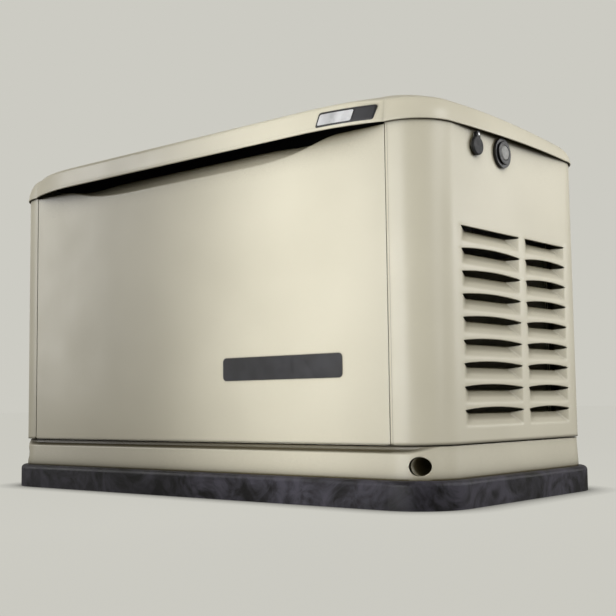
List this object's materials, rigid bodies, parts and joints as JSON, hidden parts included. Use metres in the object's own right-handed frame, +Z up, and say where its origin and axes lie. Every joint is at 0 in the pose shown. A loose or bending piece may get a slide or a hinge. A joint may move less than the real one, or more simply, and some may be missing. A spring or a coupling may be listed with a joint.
{
  "type": "home standby generator",
  "caption": "Engine-driven standby generator in a louvred sheet-metal enclosure with a domed hinged lid, on a composite pad.",
  "frame": {"origin": "middle of the bounding box's footprint, on the ground under the pad", "axes": "+X to the right seen from the front, front faces -Y, +Z up"},
  "size_m": [1.226, 0.651, 0.782],
  "materials": {
    "powder_coat": "satin",
    "pad_composite": "matte",
    "black_plastic": "satin",
    "black_rubber": "matte",
    "lens": "translucent",
    "zinc_steel": "satin",
    "dark_steel": "satin",
    "cast_aluminium": "as cast",
    "engine_black": "semi-gloss",
    "aluminised_steel": "matte",
    "galvanised_sheet": "spangled",
    "copper_winding": "varnished",
    "laminations": "laminated",
    "foam": "open cell foam",
    "badge_print": "gloss",
    "label_print": "satin",
    "red_plastic": "gloss",
    "green_plastic": "gloss",
    "blue_plastic": "gloss",
    "brass_fitting": "satin",
    "ceramic_white": "glazed"
  },
  "bodies": {
    "enclosure": {"air_cleaner": "black_plastic", "alternator_case": "cast_aluminium", "back_panel": "powder_coat", "base_tray": "powder_coat", "battery": "black_plastic", "battery_leads": "black_rubber", "blower_housing": "engine_black", "control_box": "galvanised_sheet", "controller_panel": "black_plastic", "crankcase": "cast_aluminium", "cylinder_heads": "cast_aluminium", "cylinders": "cast_aluminium", "exhaust_pipes": "aluminised_steel", "fuel_hose": "black_rubber", "fuel_regulator": "cast_aluminium", "gas_inlet": "brass_fitting", "hinge_leaves_fixed": "powder_coat", "hinge_pins": "zinc_steel", "intake_manifold": "cast_aluminium", "left_bulkhead": "galvanised_sheet", "left_end_panel": "powder_coat", "lock_bodies": "zinc_steel", "lower_bearing": "zinc_steel", "main_breaker": "black_plastic", "mixer_body": "cast_aluminium", "muffler": "aluminised_steel", "oil_filter": "engine_black", "pad": "pad_composite", "panel_screws": "zinc_steel", "right_bulkhead": "galvanised_sheet", "right_end_panel": "powder_coat", "rocker_covers": "engine_black", "spark_plugs": "ceramic_white", "starter_motor": "engine_black", "stator_core": "laminations", "stator_windings": "copper_winding", "status_bezel": "black_plastic", "status_lens": "lens", "vibration_mounts": "black_rubber"},
    "lid": {"lid": "powder_coat", "lid_liner": "foam", "badge_plate": "badge_print", "lid_keepers": "zinc_steel", "hinge_leaves_lid": "powder_coat"},
    "front_panel": {"front_panel": "powder_coat", "panel_label": "label_print"},
    "latch_right": {"latch_right": "zinc_steel"},
    "latch_left": {"latch_left": "zinc_steel"},
    "lock_cover_right": {"lock_cover_right": "black_rubber"},
    "lock_cover_left": {"lock_cover_left": "black_rubber"},
    "rotor": {"crankshaft": "dark_steel", "rotor_core": "laminations", "alternator_fan": "black_plastic", "flywheel": "cast_aluminium"},
    "breaker_lever": {"breaker_lever": "black_plastic"},
    "button_auto": {"button_auto": "green_plastic"},
    "button_off": {"button_off": "red_plastic"},
    "button_manual": {"button_manual": "blue_plastic"},
    "fuel_selector": {"fuel_selector": "black_plastic"},
    "throttle_lever": {"throttle_lever": "zinc_steel"}
  },
  "joints": [
    {"name": "lid_hinge", "type": "hinge", "parent": "enclosure", "child": "lid", "pos_m": [0, 0.3195, 0.668], "axis": [-1, 0, 0], "range_deg": [0, 100]},
    {"name": "front_panel_pull", "type": "slide", "parent": "enclosure", "child": "front_panel", "axis": [0, -1, 0], "range_m": [0, 0.3]},
    {"name": "latch_right_turn", "type": "hinge", "parent": "enclosure", "child": "latch_right", "pos_m": [0.598, -0.1325, 0.65], "axis": [1, 0, 0], "range_deg": [0, 90]},
    {"name": "latch_left_turn", "type": "hinge", "parent": "enclosure", "child": "latch_left", "pos_m": [-0.598, -0.1325, 0.65], "axis": [1, 0, 0], "range_deg": [0, 90]},
    {"name": "lock_cover_right_swing", "type": "hinge", "parent": "enclosure", "child": "lock_cover_right", "pos_m": [0.604, -0.1325, 0.669], "axis": [1, 0, 0], "range_deg": [0, 60]},
    {"name": "lock_cover_left_swing", "type": "hinge", "parent": "enclosure", "child": "lock_cover_left", "pos_m": [-0.604, -0.1325, 0.669], "axis": [1, 0, 0], "range_deg": [0, 60]},
    {"name": "crankshaft_spin", "type": "hinge", "parent": "enclosure", "child": "rotor", "pos_m": [0.02, 0.008, 0.3], "axis": [0, 0, 1], "continuous": true},
    {"name": "breaker_swing", "type": "hinge", "parent": "enclosure", "child": "breaker_lever", "pos_m": [0.5, 0.04, 0.643], "axis": [-1, 0, 0], "range_deg": [0, 50]},
    {"name": "fuel_selector_turn", "type": "hinge", "parent": "enclosure", "child": "fuel_selector", "pos_m": [0.19, 0.2345, 0.29], "axis": [0, -1, 0], "range_deg": [0, 90]},
    {"name": "throttle_turn", "type": "hinge", "parent": "enclosure", "child": "throttle_lever", "pos_m": [-0.185, 0.008, 0.499], "axis": [0, 1, 0], "range_deg": [0, 75]},
    {"name": "button_auto_press", "type": "slide", "parent": "enclosure", "child": "button_auto", "axis": [0, 0, -1], "range_m": [0, 0.0015], "stiffness_N_per_m": 400},
    {"name": "button_off_press", "type": "slide", "parent": "enclosure", "child": "button_off", "axis": [0, 0, -1], "range_m": [0, 0.0015], "stiffness_N_per_m": 400},
    {"name": "button_manual_press", "type": "slide", "parent": "enclosure", "child": "button_manual", "axis": [0, 0, -1], "range_m": [0, 0.0015], "stiffness_N_per_m": 400}
  ]
}
